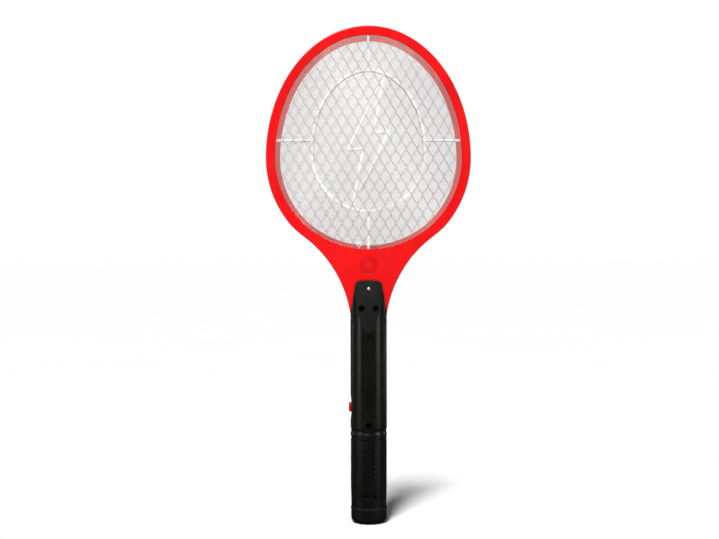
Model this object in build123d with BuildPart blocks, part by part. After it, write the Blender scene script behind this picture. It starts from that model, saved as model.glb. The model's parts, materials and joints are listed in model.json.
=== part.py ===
"""Electric fly swatter: a racket-shaped head with three charged grids on a battery handle.

Frame: origin at the centre of the end cap's flat bottom, +Z up the handle, -Y the front, millimetres.
"""
from build123d import *
from math import asin, atan2, ceil, degrees, sin
import os

os.makedirs("parts", exist_ok=True)

# ---------------------------------------------------------------- driving dimensions: head
HEAD_CENTRE_Z = 364.4        # height of the head's widest line
HEAD_HALF_WIDTH = 102.1
HEAD_RISE = 131.2            # widest line to the top of the frame
HEAD_DROP = 102.6            # the lower half-ellipse, before it runs into the neck
NECK_START = 0.65            # share of the drop at which the neck leaves the ellipse
NECK_TOP_Z = 278.1           # the neck's concave arc starts here
NECK_RADIUS = 118.1          # concave side of the neck
NECK_HALF_WIDTH = 16.93      # narrowest half width, at NECK_BASE_Z
NECK_BASE_Z = 191.3
OPENING_HALF_WIDTH = 92.7
OPENING_RISE = 121.8
OPENING_DROP = 91.1
REAR_LEDGE = 4.0             # the rear lip reaches this much further in than the front lip
FRAME_HALF_DEPTH = 7.0
FRAME_FACE = 1.95            # thickness of the lip over the mesh
FRAME_EDGE_FILLET = 1.2
FRAME_WALL = 3.0             # wall left beside the wire channel in the neck
BADGE_Z = 258.0              # plain round badge on the neck
BADGE_RADIUS = 8.3
BADGE_DEPTH = 0.5
POCKET_GROW = 6.6            # the mesh pocket is this much bigger than the opening
RIM_GROW = 6.3               # rims of the meshes, grid and separators, grown from the opening
SLIP = 0.05                  # gap between stacked pieces in the head
SEAM = 0.05                  # each half stops this far short of the middle plane

# grids and separators, counted out from the middle plane
GRID_HALF = 0.4
SEPARATOR_DEPTH = 4.0
MESH_THICK = 0.5
MESH_CELL_WIDTH = 10.7
MESH_CELL_HEIGHT = 18.6
MESH_STRAND = 0.7
REAR_MESH_SHIFT = 1.6        # the rear mesh is not lined up with the front one
GRID_PITCH = 6.8
GRID_ANGLE = 39.0
GRID_WIRE = 0.5
BOLT_CENTRE_Z = 381.9        # middle of the bolt and of the side spokes
OVAL_HALF_WIDTH = 56.4
OVAL_WIDEST_Z = 371.1
OVAL_RISE = 81.0
OVAL_DROP = 59.4
OVAL_RIB = 2.8
SPOKE_RIB = 1.9
BOLT_RIB = 2.3

# ---------------------------------------------------------------- driving dimensions: handle
HANDLE_RADIUS = 18.2
HANDLE_WALL = 2.0
SHELL_BOTTOM_Z = 84.5
SHOULDER_Z = 208.0           # the red neck's shoulder rests here
TONGUE_TOP_Z = 242.3
TONGUE_ARCH = 1.3            # the tongue's top edge is this much lower at its corners
TONGUE_TOP_HALF = 12.6
TONGUE_CORNER = 4.6
FOOT_HALF_WIDTH = 18.15      # the tongue spreads to the neck's width where it meets the shoulder
FOOT_HALF_DEPTH = 10.5
FOOT_CORNER = 5.0
FOOT_START_Z = 194.0
FOOT_START_HALF = 16.8
NICK_Z = 204.4               # fine groove round the handle under the shoulder
NICK_DEPTH = 0.5
FACET_START_Z = 190.3        # the flat facet leaves the round handle here
FACET_SLOPE = 0.17           # millimetres in per millimetre up
FLAT_INSIDE = 14.2           # half distance between the flat inner side walls
CAVITY_TOP_Z = 224.0
PILL_LOW_Z = 127.3           # stadium-shaped grip recess
PILL_HIGH_Z = 188.8
PILL_WIDTH = 13.6
PILL_DEPTH = 0.9
SCOOP_RADIUS = 113.0         # shallow scoop in the side round the push button
SCOOP_DEPTH = 0.9
WAIST_Z = 92.2               # rounded groove above the collar
WAIST_RADIUS = 7.5
WAIST_DEPTH = 0.6
HAIRLINE_Z = 88.4            # fine line on the collar
HAIRLINE_DEPTH = 0.45
TANG_HALF_WIDTH = 13.0
TANG_BOTTOM_Z = 191.0
SCREW_X = 7.0
NECK_SCREW_Z = 214.4
LOW_SCREW_Z = 98.4
SCREW_RECESS_RADIUS = 3.2
SCREW_RECESS_DEPTH = 2.9
SCREW_HEAD_RADIUS = 2.3
SCREW_HEAD_HEIGHT = 1.6
SCREW_SHANK_RADIUS = 1.45
POST_RADIUS = 3.9
CLEARANCE_RADIUS = 1.75      # screw holes in the front pieces
PILOT_RADIUS = 1.5           # screw holes that the threads cut into
LED_Z = 234.2
LED_RADIUS = 1.5
LED_LENGTH = 5.7
BUTTON_Z = 115.4
BUTTON_HEIGHT = 8.8
BUTTON_WIDTH = 7.6
BUTTON_PROUD = 1.7
BUTTON_GAP = 0.15
FLANGE_THICK = 1.2           # the button's flange, behind the flat inner wall

# ---------------------------------------------------------------- driving dimensions: battery end
CAP_RADIUS = 17.8
CAP_RIM_RADIUS = 18.2
CAP_HEIGHT = 15.6
CAP_RIM_HEIGHT = 1.6
CAP_GROOVE_HEIGHT = 0.9
CAP_BOTTOM_FILLET = 5.5
SPIGOT_HEIGHT = 5.0          # the cap's ring that is pressed into the sleeve
SLEEVE_RADIUS = 18.0
SLEEVE_WAIST_RADIUS = 17.6   # the sleeve narrows a little above the cap
SLEEVE_WAIST_Z = 20.0
SLEEVE_STRAIGHT_Z = 38.0
SLEEVE_TOP_Z = 84.0
SLEEVE_INNER_RADIUS = 16.15
PIP_ROWS = 8
PIP_PITCH = 5.7
PIP_TOP_Z = 80.6
PIP_X = 6.3
PIP_RADIUS = 0.75
PIP_FACE = 17.35             # front of a pip, from the middle plane
PAD_Z = 23.4                 # thumb pad that releases the sleeve
PAD_WIDTH = 14.0
PAD_HEIGHT = 4.1
WINDOW_Z = 28.1              # slot over the thumb pad
WINDOW_WIDTH = 15.0
WINDOW_HEIGHT = 3.8
NOTCH_Z = 18.0               # finger notch under the pad
TRAY_RADIUS = 15.9
PLUG_TOP_Z = 94.0            # the tray's upper end, held between the two shells
FLANGE_LOW_Z = 88.5          # ring on the plug that sits in the shells' groove
FLANGE_HEIGHT = 3.0
FLANGE_RADIUS = 16.2
CELL_RADIUS = 7.25           # AA cell
CELL_LENGTH = 49.3           # without its nub
CELL_NUB = 1.2
CELL_NUB_RADIUS = 2.75
CELL_X = 7.4
CELL_WELL_BOTTOM_Z = 24.5
CELL_WELL_TOP_Z = 81.0
TRAY_END_WALL = 2.5
CONTACT_THICK = 0.5

# ---------------------------------------------------------------- driving dimensions: electronics
BOARD_FRONT_Y = 3.0
BOARD_THICK = 1.6
BOARD_HALF_WIDTH = 12.0
BOARD_BOTTOM_Z = 104.0
BOARD_TOP_Z = 186.0
BOARD_SCREW_Z = 141.0
SWITCH_NEAR_X = -8.2
SWITCH_SIZE = (7, 6.3, 7)
PLUNGER_RADIUS = 1.2
PLUNGER_LENGTH = 4.4
TRANSFORMER_Y = -3.6
TRANSFORMER_Z = 160.0
LEG_HALF = 2.2               # half width of the transformer core's middle leg
CAPACITOR_Z = 177.0
DISC_HEIGHTS = (172.5, 177, 181.5)
DIODE_HEIGHTS = (131, 134.5, 147, 150)
RESISTOR_HEIGHTS = (127, 131, 135, 148)
LEAD_START_Z = 187.0         # wires leave the board's upper end here
HV_LEAD_TOP_Z = 266.95
GROUND_LEAD_TOP_Z = 276.0

OPENING_BOTTOM_Z = HEAD_CENTRE_Z - OPENING_DROP
FRONT_LEAD_X = -8.6          # where the ground leads come up to the meshes
REAR_LEAD_X = 7.0
WIDE = 60                    # bigger than the handle, for cutters

pocket_floor = FRAME_HALF_DEPTH - FRAME_FACE  # inner face of a frame lip, from the middle plane
mesh_outer = pocket_floor - SLIP         # outer face of a mesh
mesh_inner = mesh_outer - MESH_THICK
separator_outer = mesh_inner - SLIP
separator_inner = separator_outer - SEPARATOR_DEPTH
FRONT = Plane.XZ                         # local x = +X, local y = +Z, normal = -Y


def keep(builder, label):
    """Label a finished piece and write its STEP file."""
    builder.part.label = label
    export_step(builder.part, f"parts/{label}.step")


def facet_depth(z):
    """Distance from the middle plane to the flat facet of the handle's tongue at a height."""
    return HANDLE_RADIUS - FACET_SLOPE * (z - FACET_START_Z)


def egg(half_width, rise, drop, centre_z):
    """Closed egg outline on the current BuildLine: two half-ellipses on one widest line."""
    EllipticalCenterArc((0, centre_z), half_width, rise, start_angle=0, arc_size=180)
    EllipticalCenterArc((0, centre_z), half_width, drop, start_angle=180, arc_size=180)


def opening_outline(grow):
    """The mesh opening, made bigger all round by grow."""
    egg(OPENING_HALF_WIDTH + grow, OPENING_RISE + grow, OPENING_DROP + grow, HEAD_CENTRE_Z)


def oval_outline(grow):
    """The separator's oval rib line, made bigger all round by grow."""
    egg(OVAL_HALF_WIDTH + grow, OVAL_RISE + grow, OVAL_DROP + grow, OVAL_WIDEST_Z)


def head_outline(inset, base_z):
    """Outer outline of the racket head and its neck, pulled in by inset and cut off at base_z."""
    half_width = HEAD_HALF_WIDTH - inset
    drop = HEAD_DROP - inset
    leave = degrees(asin(NECK_START))
    centre_x = NECK_HALF_WIDTH + NECK_RADIUS
    radius = NECK_RADIUS + inset
    highest = degrees(asin((NECK_TOP_Z - NECK_BASE_Z) / NECK_RADIUS))
    lowest = degrees(asin((base_z - NECK_BASE_Z) / radius))
    EllipticalCenterArc((0, HEAD_CENTRE_Z), half_width, HEAD_RISE - inset, start_angle=0, arc_size=180)
    left_head = EllipticalCenterArc((0, HEAD_CENTRE_Z), half_width, drop, start_angle=180, arc_size=leave)
    left_neck = CenterArc((-centre_x, NECK_BASE_Z), radius, highest, lowest - highest)
    Spline(left_head @ 1, left_neck @ 0, tangents=(left_head % 1, left_neck % 0))
    right_head = EllipticalCenterArc((0, HEAD_CENTRE_Z), half_width, drop, start_angle=-leave, arc_size=leave)
    right_neck = CenterArc((centre_x, NECK_BASE_Z), radius, 180 - highest, highest - lowest)
    Spline(right_head @ 0, right_neck @ 0, tangents=(-(right_head % 0), right_neck % 0))
    Line(left_neck @ 1, right_neck @ 1)


def tongue_outline(base_z):
    """Front outline of the handle's tongue: arched top, sides that widen down to the shoulder."""
    corner_z = TONGUE_TOP_Z - TONGUE_ARCH
    Polyline(
        (-TONGUE_TOP_HALF, corner_z),
        (-FOOT_HALF_WIDTH, SHOULDER_Z + 1),
        (-FOOT_HALF_WIDTH, base_z),
        (FOOT_HALF_WIDTH, base_z),
        (FOOT_HALF_WIDTH, SHOULDER_Z + 1),
        (TONGUE_TOP_HALF, corner_z),
    )
    ThreePointArc((TONGUE_TOP_HALF, corner_z), (0, TONGUE_TOP_Z), (-TONGUE_TOP_HALF, corner_z))


# ================================================================ red head frame
def frame_half(label, side):
    """One half of the head frame: face plate, outer wall, wire channel and the tang in the handle.

    side is -1 for the front half and +1 for the rear half.
    """
    outward = FRONT.offset(-side * SEAM)
    depth = -side * (FRAME_HALF_DEPTH - SEAM)
    floor = -side * (pocket_floor - SEAM)
    reach = 0 if side < 0 else -REAR_LEDGE
    tang_middle_z = (SHOULDER_Z + TANG_BOTTOM_Z) / 2
    tang_length = SHOULDER_Z - TANG_BOTTOM_Z
    channel_top_z = OPENING_BOTTOM_Z - POCKET_GROW + 2
    neck_screws = ((-SCREW_X, NECK_SCREW_Z), (SCREW_X, NECK_SCREW_Z))
    with BuildPart() as half:
        with BuildSketch(outward):
            with BuildLine():
                head_outline(0, SHOULDER_Z)
            make_face()
        extrude(amount=depth)
        rim = half.faces().filter_by(Plane.XZ).sort_by(Axis.Y)
        outer_face = rim[0] if side < 0 else rim[-1]
        fillet(outer_face.edges().filter_by(lambda e: e.center().Z > SHOULDER_Z + 0.5), FRAME_EDGE_FILLET)
        with BuildSketch(outward):
            with Locations((0, tang_middle_z)):
                Rectangle(2 * TANG_HALF_WIDTH, tang_length + 0.01)
        extrude(amount=depth)
        # pocket for the mesh, separator and grid
        with BuildSketch(outward):
            with BuildLine():
                opening_outline(POCKET_GROW)
            make_face()
        extrude(amount=floor, mode=Mode.SUBTRACT)
        # the opening itself
        with BuildSketch(outward):
            with BuildLine():
                opening_outline(reach)
            make_face()
        extrude(amount=depth * 1.5, mode=Mode.SUBTRACT)
        # wire channel down the neck and the tang
        with BuildSketch(outward):
            with BuildLine():
                head_outline(FRAME_WALL, SHOULDER_Z)
            make_face()
            with Locations((0, channel_top_z)):
                Rectangle(300, 200, align=(Align.CENTER, Align.MAX), mode=Mode.INTERSECT)
            with Locations((0, tang_middle_z)):
                Rectangle(2 * TANG_HALF_WIDTH - 5, tang_length + 4)
        extrude(amount=floor, mode=Mode.SUBTRACT)
        # posts round the two neck screws
        with BuildSketch(outward):
            with Locations(*neck_screws):
                Circle(POST_RADIUS - 0.3)
        extrude(amount=depth)
        with BuildSketch(outward):
            with Locations(*neck_screws):
                Circle(CLEARANCE_RADIUS)
        extrude(amount=depth * 1.5, mode=Mode.SUBTRACT)
        if side < 0:
            # round badge in a shallow pocket on the neck, and the hole the indicator lamp stands in
            with BuildSketch(FRONT.offset(FRAME_HALF_DEPTH - BADGE_DEPTH)):
                with Locations((0, BADGE_Z)):
                    Circle(BADGE_RADIUS)
            extrude(amount=2, mode=Mode.SUBTRACT)
            with BuildSketch(FRONT.offset(FRAME_HALF_DEPTH - BADGE_DEPTH - 0.1)):
                with Locations((0, BADGE_Z)):
                    Circle(BADGE_RADIUS - 0.9)
                    Circle(BADGE_RADIUS - 2.1, mode=Mode.SUBTRACT)
                    Circle(BADGE_RADIUS - 4.2)
            extrude(amount=BADGE_DEPTH + 0.3)
            with BuildSketch(FRONT):
                with Locations((0, LED_Z)):
                    Circle(LED_RADIUS + 0.7)
            extrude(amount=FRAME_HALF_DEPTH * 1.5, mode=Mode.SUBTRACT)
    keep(half, label)


frame_half("front_frame", -1)
frame_half("rear_frame", 1)


# ================================================================ meshes, grid and separators
def diamond_mesh(label, near, amount, shift):
    """Expanded metal sheet: a solid rim and diamond holes that stop at the rim."""
    cell_x = MESH_CELL_WIDTH / 2
    cell_z = MESH_CELL_HEIGHT / 2
    shrink = 1 - MESH_STRAND / (2 * cell_x * sin(atan2(cell_z, cell_x)))
    columns = ceil(OPENING_HALF_WIDTH / cell_x)
    rows = ceil(OPENING_RISE / cell_z)
    centres = [
        (i * cell_x + shift, HEAD_CENTRE_Z + j * cell_z)
        for i in range(-columns, columns + 1)
        for j in range(-rows, rows + 1)
        if (i + j) % 2 == 0
    ]
    with BuildSketch(FRONT, mode=Mode.PRIVATE) as holes:
        with Locations(*centres):
            Polygon(
                (-cell_x * shrink, 0), (0, cell_z * shrink), (cell_x * shrink, 0), (0, -cell_z * shrink)
            )
        with BuildLine():
            opening_outline(-1.0)
        make_face(mode=Mode.INTERSECT)
    with BuildPart() as sheet:
        with BuildSketch(FRONT.offset(near)):
            with BuildLine():
                opening_outline(RIM_GROW)
            make_face()
            add(holes.sketch_local, mode=Mode.SUBTRACT)
        extrude(amount=amount)
    keep(sheet, label)


diamond_mesh("front_mesh", mesh_inner, MESH_THICK, 0.0)
diamond_mesh("rear_mesh", -mesh_inner, -MESH_THICK, REAR_MESH_SHIFT)


def grid_bars(angle, near, amount):
    """One family of parallel wires across the opening, each stopping at the rim."""
    half_length = OPENING_RISE + 20
    count = int(OPENING_RISE * 1.05 / GRID_PITCH)
    with BuildSketch(FRONT, mode=Mode.PRIVATE) as bars:
        with Locations(Location((0, HEAD_CENTRE_Z), angle)):
            with GridLocations(1, GRID_PITCH, 1, 2 * count + 1):
                Rectangle(2 * half_length, GRID_WIRE)
        with BuildLine():
            opening_outline(1.0)
        make_face(mode=Mode.INTERSECT)
    with BuildSketch(FRONT.offset(near)) as placed:
        add(bars.sketch_local)
    extrude(placed.sketch, amount=amount)


with BuildPart() as grid:
    with BuildSketch(FRONT.offset(-GRID_HALF)):
        with BuildLine():
            opening_outline(RIM_GROW)
        make_face()
        with BuildLine():
            opening_outline(1.0)
        make_face(mode=Mode.SUBTRACT)
    extrude(amount=2 * GRID_HALF)
    grid_bars(GRID_ANGLE, 0, GRID_HALF)
    grid_bars(-GRID_ANGLE, -GRID_HALF, GRID_HALF)
keep(grid, "centre_grid")


# zigzag bolt, point-symmetric about its own middle
bolt_half = [(16.2, 67.0), (-20.3, -9.0), (-5.1, -7.8)]
bolt_corners = bolt_half + [(-x, -z) for x, z in bolt_half]


def separator(label, near, amount):
    """Insulating spacer: outer ring, four spokes, the oval rib and the bolt outline."""
    with BuildPart() as spacer:
        with BuildSketch(FRONT.offset(near)):
            with BuildLine():
                opening_outline(RIM_GROW)
            make_face()
            with BuildLine():
                opening_outline(0.8)
            make_face(mode=Mode.SUBTRACT)
            with BuildLine():
                oval_outline(OVAL_RIB / 2)
            make_face()
            with BuildLine():
                oval_outline(-OVAL_RIB / 2)
            make_face(mode=Mode.SUBTRACT)
            # the bolt: one straight rib along each side of its outline
            for start, end in zip(bolt_corners, bolt_corners[1:] + bolt_corners[:1]):
                run = Vector(*end) - Vector(*start)
                with Locations(((start[0] + end[0]) / 2, BOLT_CENTRE_Z + (start[1] + end[1]) / 2)):
                    SlotCenterToCenter(run.length, BOLT_RIB, rotation=degrees(atan2(run.Y, run.X)))
            for side in (-1, 1):
                spoke_x = (OVAL_HALF_WIDTH + OPENING_HALF_WIDTH + 1) / 2
                with Locations((side * spoke_x, BOLT_CENTRE_Z)):
                    Rectangle(OPENING_HALF_WIDTH + 1 - OVAL_HALF_WIDTH, SPOKE_RIB)
            for low, high in (
                (OPENING_BOTTOM_Z - 1, OVAL_WIDEST_Z - OVAL_DROP),
                (OVAL_WIDEST_Z + OVAL_RISE, HEAD_CENTRE_Z + OPENING_RISE + 1),
            ):
                with Locations((0, (low + high) / 2)):
                    Rectangle(SPOKE_RIB, high - low)
            # notches that let the ground leads up to the meshes
            with Locations((FRONT_LEAD_X, OPENING_BOTTOM_Z - 4), (REAR_LEAD_X, OPENING_BOTTOM_Z - 4)):
                Rectangle(4, 12, mode=Mode.SUBTRACT)
        extrude(amount=amount)
    keep(spacer, label)


separator("front_separator", separator_inner, SEPARATOR_DEPTH)
separator("rear_separator", -separator_inner, -SEPARATOR_DEPTH)


# ================================================================ black handle shells


def facet_cutter(side, inset):
    """Wedge that planes the front or back of the tongue down to the facet."""
    low_z = FACET_START_Z - 30
    high_z = TONGUE_TOP_Z + 10
    low_depth = HANDLE_RADIUS - inset + FACET_SLOPE * (FACET_START_Z - low_z)
    high_depth = HANDLE_RADIUS - inset - FACET_SLOPE * (high_z - FACET_START_Z)
    with BuildPart() as wedge:
        with BuildSketch(Plane.YZ.offset(-WIDE / 2)):
            with BuildLine():
                Polyline(
                    (side * low_depth, low_z),
                    (side * high_depth, high_z),
                    (side * (HANDLE_RADIUS + 12), high_z),
                    (side * (HANDLE_RADIUS + 12), low_z),
                    close=True,
                )
            make_face()
        extrude(amount=WIDE)
    return wedge.part


def handle_cavity(side):
    """Hollow of one shell: round bore with flat sides, closed by the facet's wall at the top."""
    inner_facet = facet_cutter(side, HANDLE_WALL)
    with BuildPart() as hollow:
        with BuildSketch(Plane.XY.offset(SHELL_BOTTOM_Z)):
            Circle(HANDLE_RADIUS - HANDLE_WALL)
            Rectangle(2 * FLAT_INSIDE, WIDE, mode=Mode.INTERSECT)
        extrude(amount=CAVITY_TOP_Z - SHELL_BOTTOM_Z)
        add(inner_facet, mode=Mode.SUBTRACT)
        with BuildSketch(Plane.XY.offset(SHOULDER_Z)):
            Rectangle(WIDE, WIDE)
            Rectangle(22, WIDE, mode=Mode.SUBTRACT)
        extrude(amount=WIDE, mode=Mode.SUBTRACT)
    return hollow.part


def engraving(outline, radius, side):
    """Cutter that engraves a front outline into a round wall, down to a radius."""
    with BuildPart() as cutter:
        extrude(outline.sketch, amount=-side * WIDE)
        Cylinder(radius, 600, mode=Mode.SUBTRACT)
    return cutter.part


with BuildSketch(FRONT) as pill:
    with Locations((0, (PILL_LOW_Z + PILL_HIGH_Z) / 2)):
        SlotOverall(PILL_HIGH_Z - PILL_LOW_Z, PILL_WIDTH, rotation=90)

with BuildSketch(FRONT) as tongue:
    with BuildLine():
        tongue_outline(SHELL_BOTTOM_Z - 1)
    make_face()
    fillet(tongue.vertices().group_by(Axis.Z)[-1], TONGUE_CORNER)

with BuildSketch(Plane.XZ) as scoop:
    with Locations((-HANDLE_RADIUS + SCOOP_DEPTH - SCOOP_RADIUS, BUTTON_Z)):
        Circle(SCOOP_RADIUS)

board_back = BOARD_FRONT_Y + BOARD_THICK + SLIP
screw_places = ((-SCREW_X, NECK_SCREW_Z), (SCREW_X, NECK_SCREW_Z), (0, LOW_SCREW_Z))


def post_top(z):
    """How far a screw post reaches from the middle plane, just under the outer skin."""
    return min(facet_depth(z), HANDLE_RADIUS) - 0.8


def handle_shell(label, side):
    """One half of the handle, from the battery joint up to the tongue over the red neck."""
    outer_facet = facet_cutter(side, 0)
    cavity = handle_cavity(side)
    pill_recess = engraving(pill, HANDLE_RADIUS - PILL_DEPTH, side)
    length = TONGUE_TOP_Z - SHELL_BOTTOM_Z
    with BuildPart() as shell:
        with BuildSketch(Plane.XY.offset(SHELL_BOTTOM_Z)):
            Circle(HANDLE_RADIUS)
        extrude(amount=length)
        chamfer(shell.edges().group_by(Axis.Z)[0], 0.3)
        # the foot of the tongue spreads to the width of the red neck
        with BuildSketch(Plane.XY.offset(FOOT_START_Z)):
            RectangleRounded(2 * FOOT_START_HALF, 2 * FOOT_HALF_DEPTH, FOOT_CORNER)
        with BuildSketch(Plane.XY.offset(SHOULDER_Z)):
            RectangleRounded(2 * FOOT_HALF_WIDTH, 2 * FOOT_HALF_DEPTH, FOOT_CORNER)
        loft()
        with BuildSketch(Plane.XY.offset(SHOULDER_Z)):
            RectangleRounded(2 * FOOT_HALF_WIDTH, 2 * FOOT_HALF_DEPTH, FOOT_CORNER)
        extrude(amount=TONGUE_TOP_Z - SHOULDER_Z)
        # keep one half
        with BuildSketch(Plane.XY.offset(SHELL_BOTTOM_Z)):
            with Locations((0, side * (WIDE / 2 + SEAM))):
                Rectangle(WIDE, WIDE)
        extrude(amount=length, mode=Mode.INTERSECT)
        add(outer_facet, mode=Mode.SUBTRACT)
        # trim the tongue to its outline, and clear the red neck that it lies on
        extrude(tongue.sketch, amount=WIDE, both=True, mode=Mode.INTERSECT)
        with BuildSketch(Plane.XY.offset(SHOULDER_Z)):
            Rectangle(WIDE, 2 * (FRAME_HALF_DEPTH + SLIP))
        extrude(amount=WIDE, mode=Mode.SUBTRACT)
        add(cavity, mode=Mode.SUBTRACT)
        add(pill_recess, mode=Mode.SUBTRACT)
        # shallow scoop round the push button, and the button's window
        extrude(scoop.sketch, amount=WIDE, both=True, mode=Mode.SUBTRACT)
        with BuildSketch(Plane.YZ.offset(-WIDE / 2)):
            with Locations((0, BUTTON_Z)):
                RectangleRounded(BUTTON_WIDTH + 2 * BUTTON_GAP, BUTTON_HEIGHT + 2 * BUTTON_GAP, 1.4)
        extrude(amount=WIDE / 2, mode=Mode.SUBTRACT)
        # fine rings cut round the handle: on the collar, and under the shoulder
        for bottom, height, depth in ((HAIRLINE_Z, 0.6, HAIRLINE_DEPTH), (NICK_Z, 1.0, NICK_DEPTH)):
            with BuildSketch(Plane.XY.offset(bottom)):
                Circle(WIDE)
                Circle(HANDLE_RADIUS - depth, mode=Mode.SUBTRACT)
            extrude(amount=height, mode=Mode.SUBTRACT)
        # rounded groove above the collar
        with BuildSketch(Plane.XZ):
            with Locations((HANDLE_RADIUS - WAIST_DEPTH + WAIST_RADIUS, WAIST_Z)):
                Circle(WAIST_RADIUS)
        revolve(axis=Axis.Z, mode=Mode.SUBTRACT)
        # bore and groove that hold the battery tray's plug and flange
        with BuildSketch(Plane.XY.offset(SHELL_BOTTOM_Z)):
            Circle(TRAY_RADIUS - 0.15)
        extrude(amount=PLUG_TOP_Z + 0.2 - SHELL_BOTTOM_Z, mode=Mode.SUBTRACT)
        with BuildSketch(Plane.XY.offset(FLANGE_LOW_Z - 0.1)):
            Circle(FLANGE_RADIUS + 0.1)
        extrude(amount=FLANGE_HEIGHT + 0.2, mode=Mode.SUBTRACT)
        # screw posts: two at the neck, one above the battery joint
        outward = -side
        for x, z in screw_places:
            top = post_top(z)
            bottom = FRAME_HALF_DEPTH + SLIP if z > SHOULDER_Z else SEAM
            with BuildSketch(FRONT.offset(outward * bottom)):
                with Locations((x, z)):
                    Circle(POST_RADIUS)
            extrude(amount=outward * (top - bottom))
            hole_radius = CLEARANCE_RADIUS if side < 0 else PILOT_RADIUS
            hole_depth = top - bottom if side < 0 else top - bottom - 2
            with BuildSketch(FRONT.offset(outward * bottom)):
                with Locations((x, z)):
                    Circle(hole_radius)
            extrude(amount=outward * hole_depth, mode=Mode.SUBTRACT)
            if side < 0:
                with BuildSketch(FRONT.offset(top - SCREW_RECESS_DEPTH)):
                    with Locations((x, z)):
                        Circle(SCREW_RECESS_RADIUS)
                extrude(amount=WIDE / 2, mode=Mode.SUBTRACT)
        if side < 0:
            # lamp hole
            with BuildSketch(FRONT):
                with Locations((0, LED_Z)):
                    Circle(LED_RADIUS + 0.1)
            extrude(amount=WIDE, mode=Mode.SUBTRACT)
        else:
            # ribs behind the circuit board, the middle one is its screw post
            for z in (BOARD_BOTTOM_Z + 5, BOARD_TOP_Z - 5):
                with BuildSketch(Plane.XZ.offset(-board_back)):
                    with Locations((0, z)):
                        Rectangle(12, 2)
                extrude(amount=-(HANDLE_RADIUS - HANDLE_WALL + 0.2 - board_back))
            with BuildSketch(Plane.XZ.offset(-board_back)):
                with Locations((0, BOARD_SCREW_Z)):
                    Circle(3.0)
            extrude(amount=-(HANDLE_RADIUS - 1.5 - board_back))
            with BuildSketch(Plane.XZ.offset(-board_back)):
                with Locations((0, BOARD_SCREW_Z)):
                    Circle(1.1)
            extrude(amount=-8, mode=Mode.SUBTRACT)
    keep(shell, label)


handle_shell("handle_front_shell", -1)
handle_shell("handle_rear_shell", 1)


with BuildPart() as screws:
    for x, z in screw_places:
        seat = post_top(z) - SCREW_RECESS_DEPTH + 0.02
        with BuildSketch(FRONT.offset(seat)):
            with Locations((x, z)):
                Circle(SCREW_HEAD_RADIUS)
        extrude(amount=SCREW_HEAD_HEIGHT)
        with BuildSketch(FRONT.offset(seat)):
            with Locations((x, z)):
                Circle(SCREW_SHANK_RADIUS)
        extrude(amount=-(seat + 10.5))
        with BuildSketch(FRONT.offset(seat + SCREW_HEAD_HEIGHT - 1)):
            with Locations((x, z)):
                Rectangle(2.6, 0.6)
                Rectangle(0.6, 2.6)
        extrude(amount=2, mode=Mode.SUBTRACT)
keep(screws, "handle_screws")


# ================================================================ push button and switch
button_inner = FLAT_INSIDE - 0.1      # the button's flange sits against the flat inner wall
button_face = HANDLE_RADIUS + BUTTON_PROUD
STEM_LENGTH = 1.9
DISH_RADIUS = 40.0
with BuildSketch(Plane.XZ) as dish:
    with Locations((-button_face - DISH_RADIUS + 0.3, BUTTON_Z)):
        Circle(DISH_RADIUS)
with BuildPart() as button:
    with BuildSketch(Plane.YZ.offset(-button_face)):
        with Locations((0, BUTTON_Z)):
            RectangleRounded(BUTTON_WIDTH, BUTTON_HEIGHT, 1.3)
    extrude(amount=button_face - button_inner + FLANGE_THICK)
    outer_edges = button.faces().sort_by(Axis.X)[0].edges()
    fillet(outer_edges, 0.7)
    extrude(dish.sketch, amount=BUTTON_WIDTH / 4, both=True, mode=Mode.SUBTRACT)
    with BuildSketch(Plane.YZ.offset(-button_inner)):
        with Locations((0, BUTTON_Z)):
            RectangleRounded(BUTTON_WIDTH + 2.4, BUTTON_HEIGHT + 2.6, 1.4)
    extrude(amount=FLANGE_THICK)
    with BuildSketch(Plane.YZ.offset(-button_inner + FLANGE_THICK)):
        with Locations((0, BUTTON_Z)):
            Circle(1.6)
    extrude(amount=STEM_LENGTH)
keep(button, "push_button")

with BuildPart() as plunger:
    with BuildSketch(Plane.YZ.offset(-button_inner + FLANGE_THICK + STEM_LENGTH)):
        with Locations((0, BUTTON_Z)):
            Circle(PLUNGER_RADIUS)
    extrude(amount=PLUNGER_LENGTH)
keep(plunger, "switch_plunger")

with BuildPart() as switch:
    with Locations((SWITCH_NEAR_X + SWITCH_SIZE[0] / 2, BOARD_FRONT_Y - SLIP - SWITCH_SIZE[1] / 2, BUTTON_Z)):
        Box(*SWITCH_SIZE)
    chamfer(switch.edges().filter_by(Axis.X), 0.5)
    with BuildSketch(Plane.YZ.offset(SWITCH_NEAR_X)):
        with Locations((0, BUTTON_Z)):
            Circle(PLUNGER_RADIUS + 0.07)
    extrude(amount=5, mode=Mode.SUBTRACT)
keep(switch, "switch_body")


# ================================================================ circuit board and what it carries
with BuildPart() as board:
    with BuildSketch(Plane.XZ.offset(-BOARD_FRONT_Y)):
        with Locations((0, (BOARD_BOTTOM_Z + BOARD_TOP_Z) / 2)):
            RectangleRounded(2 * BOARD_HALF_WIDTH, BOARD_TOP_Z - BOARD_BOTTOM_Z, 1.0)
        with Locations((0, BOARD_SCREW_Z)):
            Circle(1.3, mode=Mode.SUBTRACT)
        # cut-out that leaves room for the button's flange
        with Locations((-BOARD_HALF_WIDTH, BUTTON_Z)):
            Rectangle(3.6, BUTTON_HEIGHT + 5, mode=Mode.SUBTRACT)
    extrude(amount=-BOARD_THICK)
keep(board, "circuit_board")

with BuildPart() as board_screw:
    for radius, length in ((2.3, -1.5), (1.05, 8)):
        with BuildSketch(Plane.XZ.offset(-(BOARD_FRONT_Y - 0.02))):
            with Locations((0, BOARD_SCREW_Z)):
                Circle(radius)
        extrude(amount=-length)
keep(board_screw, "board_screw")

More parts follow.
